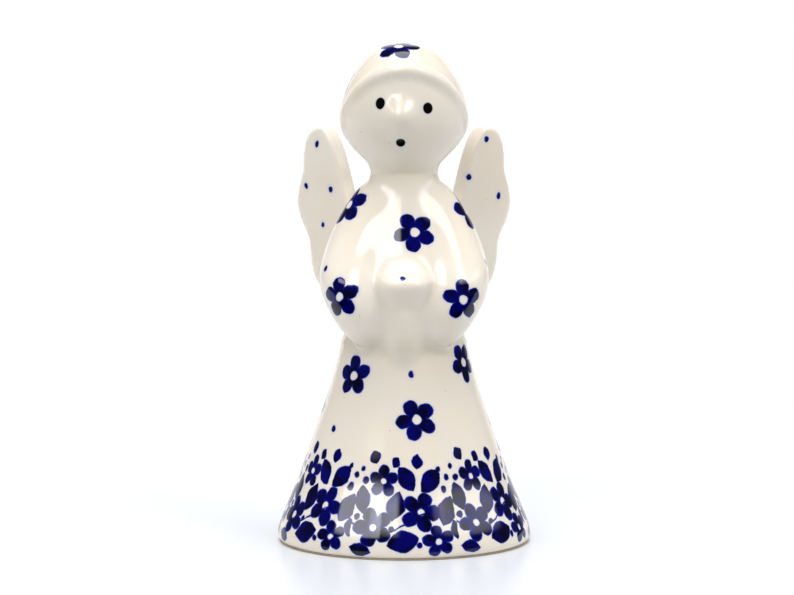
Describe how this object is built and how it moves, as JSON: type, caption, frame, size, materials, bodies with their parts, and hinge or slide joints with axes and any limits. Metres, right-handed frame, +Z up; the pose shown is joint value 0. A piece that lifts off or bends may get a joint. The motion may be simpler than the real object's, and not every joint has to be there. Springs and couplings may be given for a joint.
{
  "type": "angel figurine",
  "caption": "Standing glazed stoneware angel with a flared bell skirt, full sleeves meeting at the hands, a round head in a hood and two wings swept back.",
  "frame": {"origin": "on the surface that the figurine stands on, under the middle of the round hem", "axes": "+Z up from the hem to the crown, the face looks towards -Y, +X is the figurine's own left hand"},
  "size_m": [0.0714, 0.0714, 0.14],
  "materials": {
    "glazed_stoneware": "warm white transparent glaze over cream stoneware, stamped with cobalt blue flowers, dots and a border",
    "bare_stoneware": "unglazed fired stoneware, matt and slightly rough",
    "black_underglaze": "near-black pigment under the same glossy glaze"
  },
  "bodies": {
    "root": {"foot_ring": "bare_stoneware", "skirt": "glazed_stoneware", "torso": "glazed_stoneware", "hands": "glazed_stoneware", "left_sleeve": "glazed_stoneware", "right_sleeve": "glazed_stoneware", "left_wing": "glazed_stoneware", "right_wing": "glazed_stoneware", "hood": "glazed_stoneware", "face": "glazed_stoneware", "left_eye": "black_underglaze", "right_eye": "black_underglaze", "mouth": "black_underglaze"}
  },
  "joints": []
}
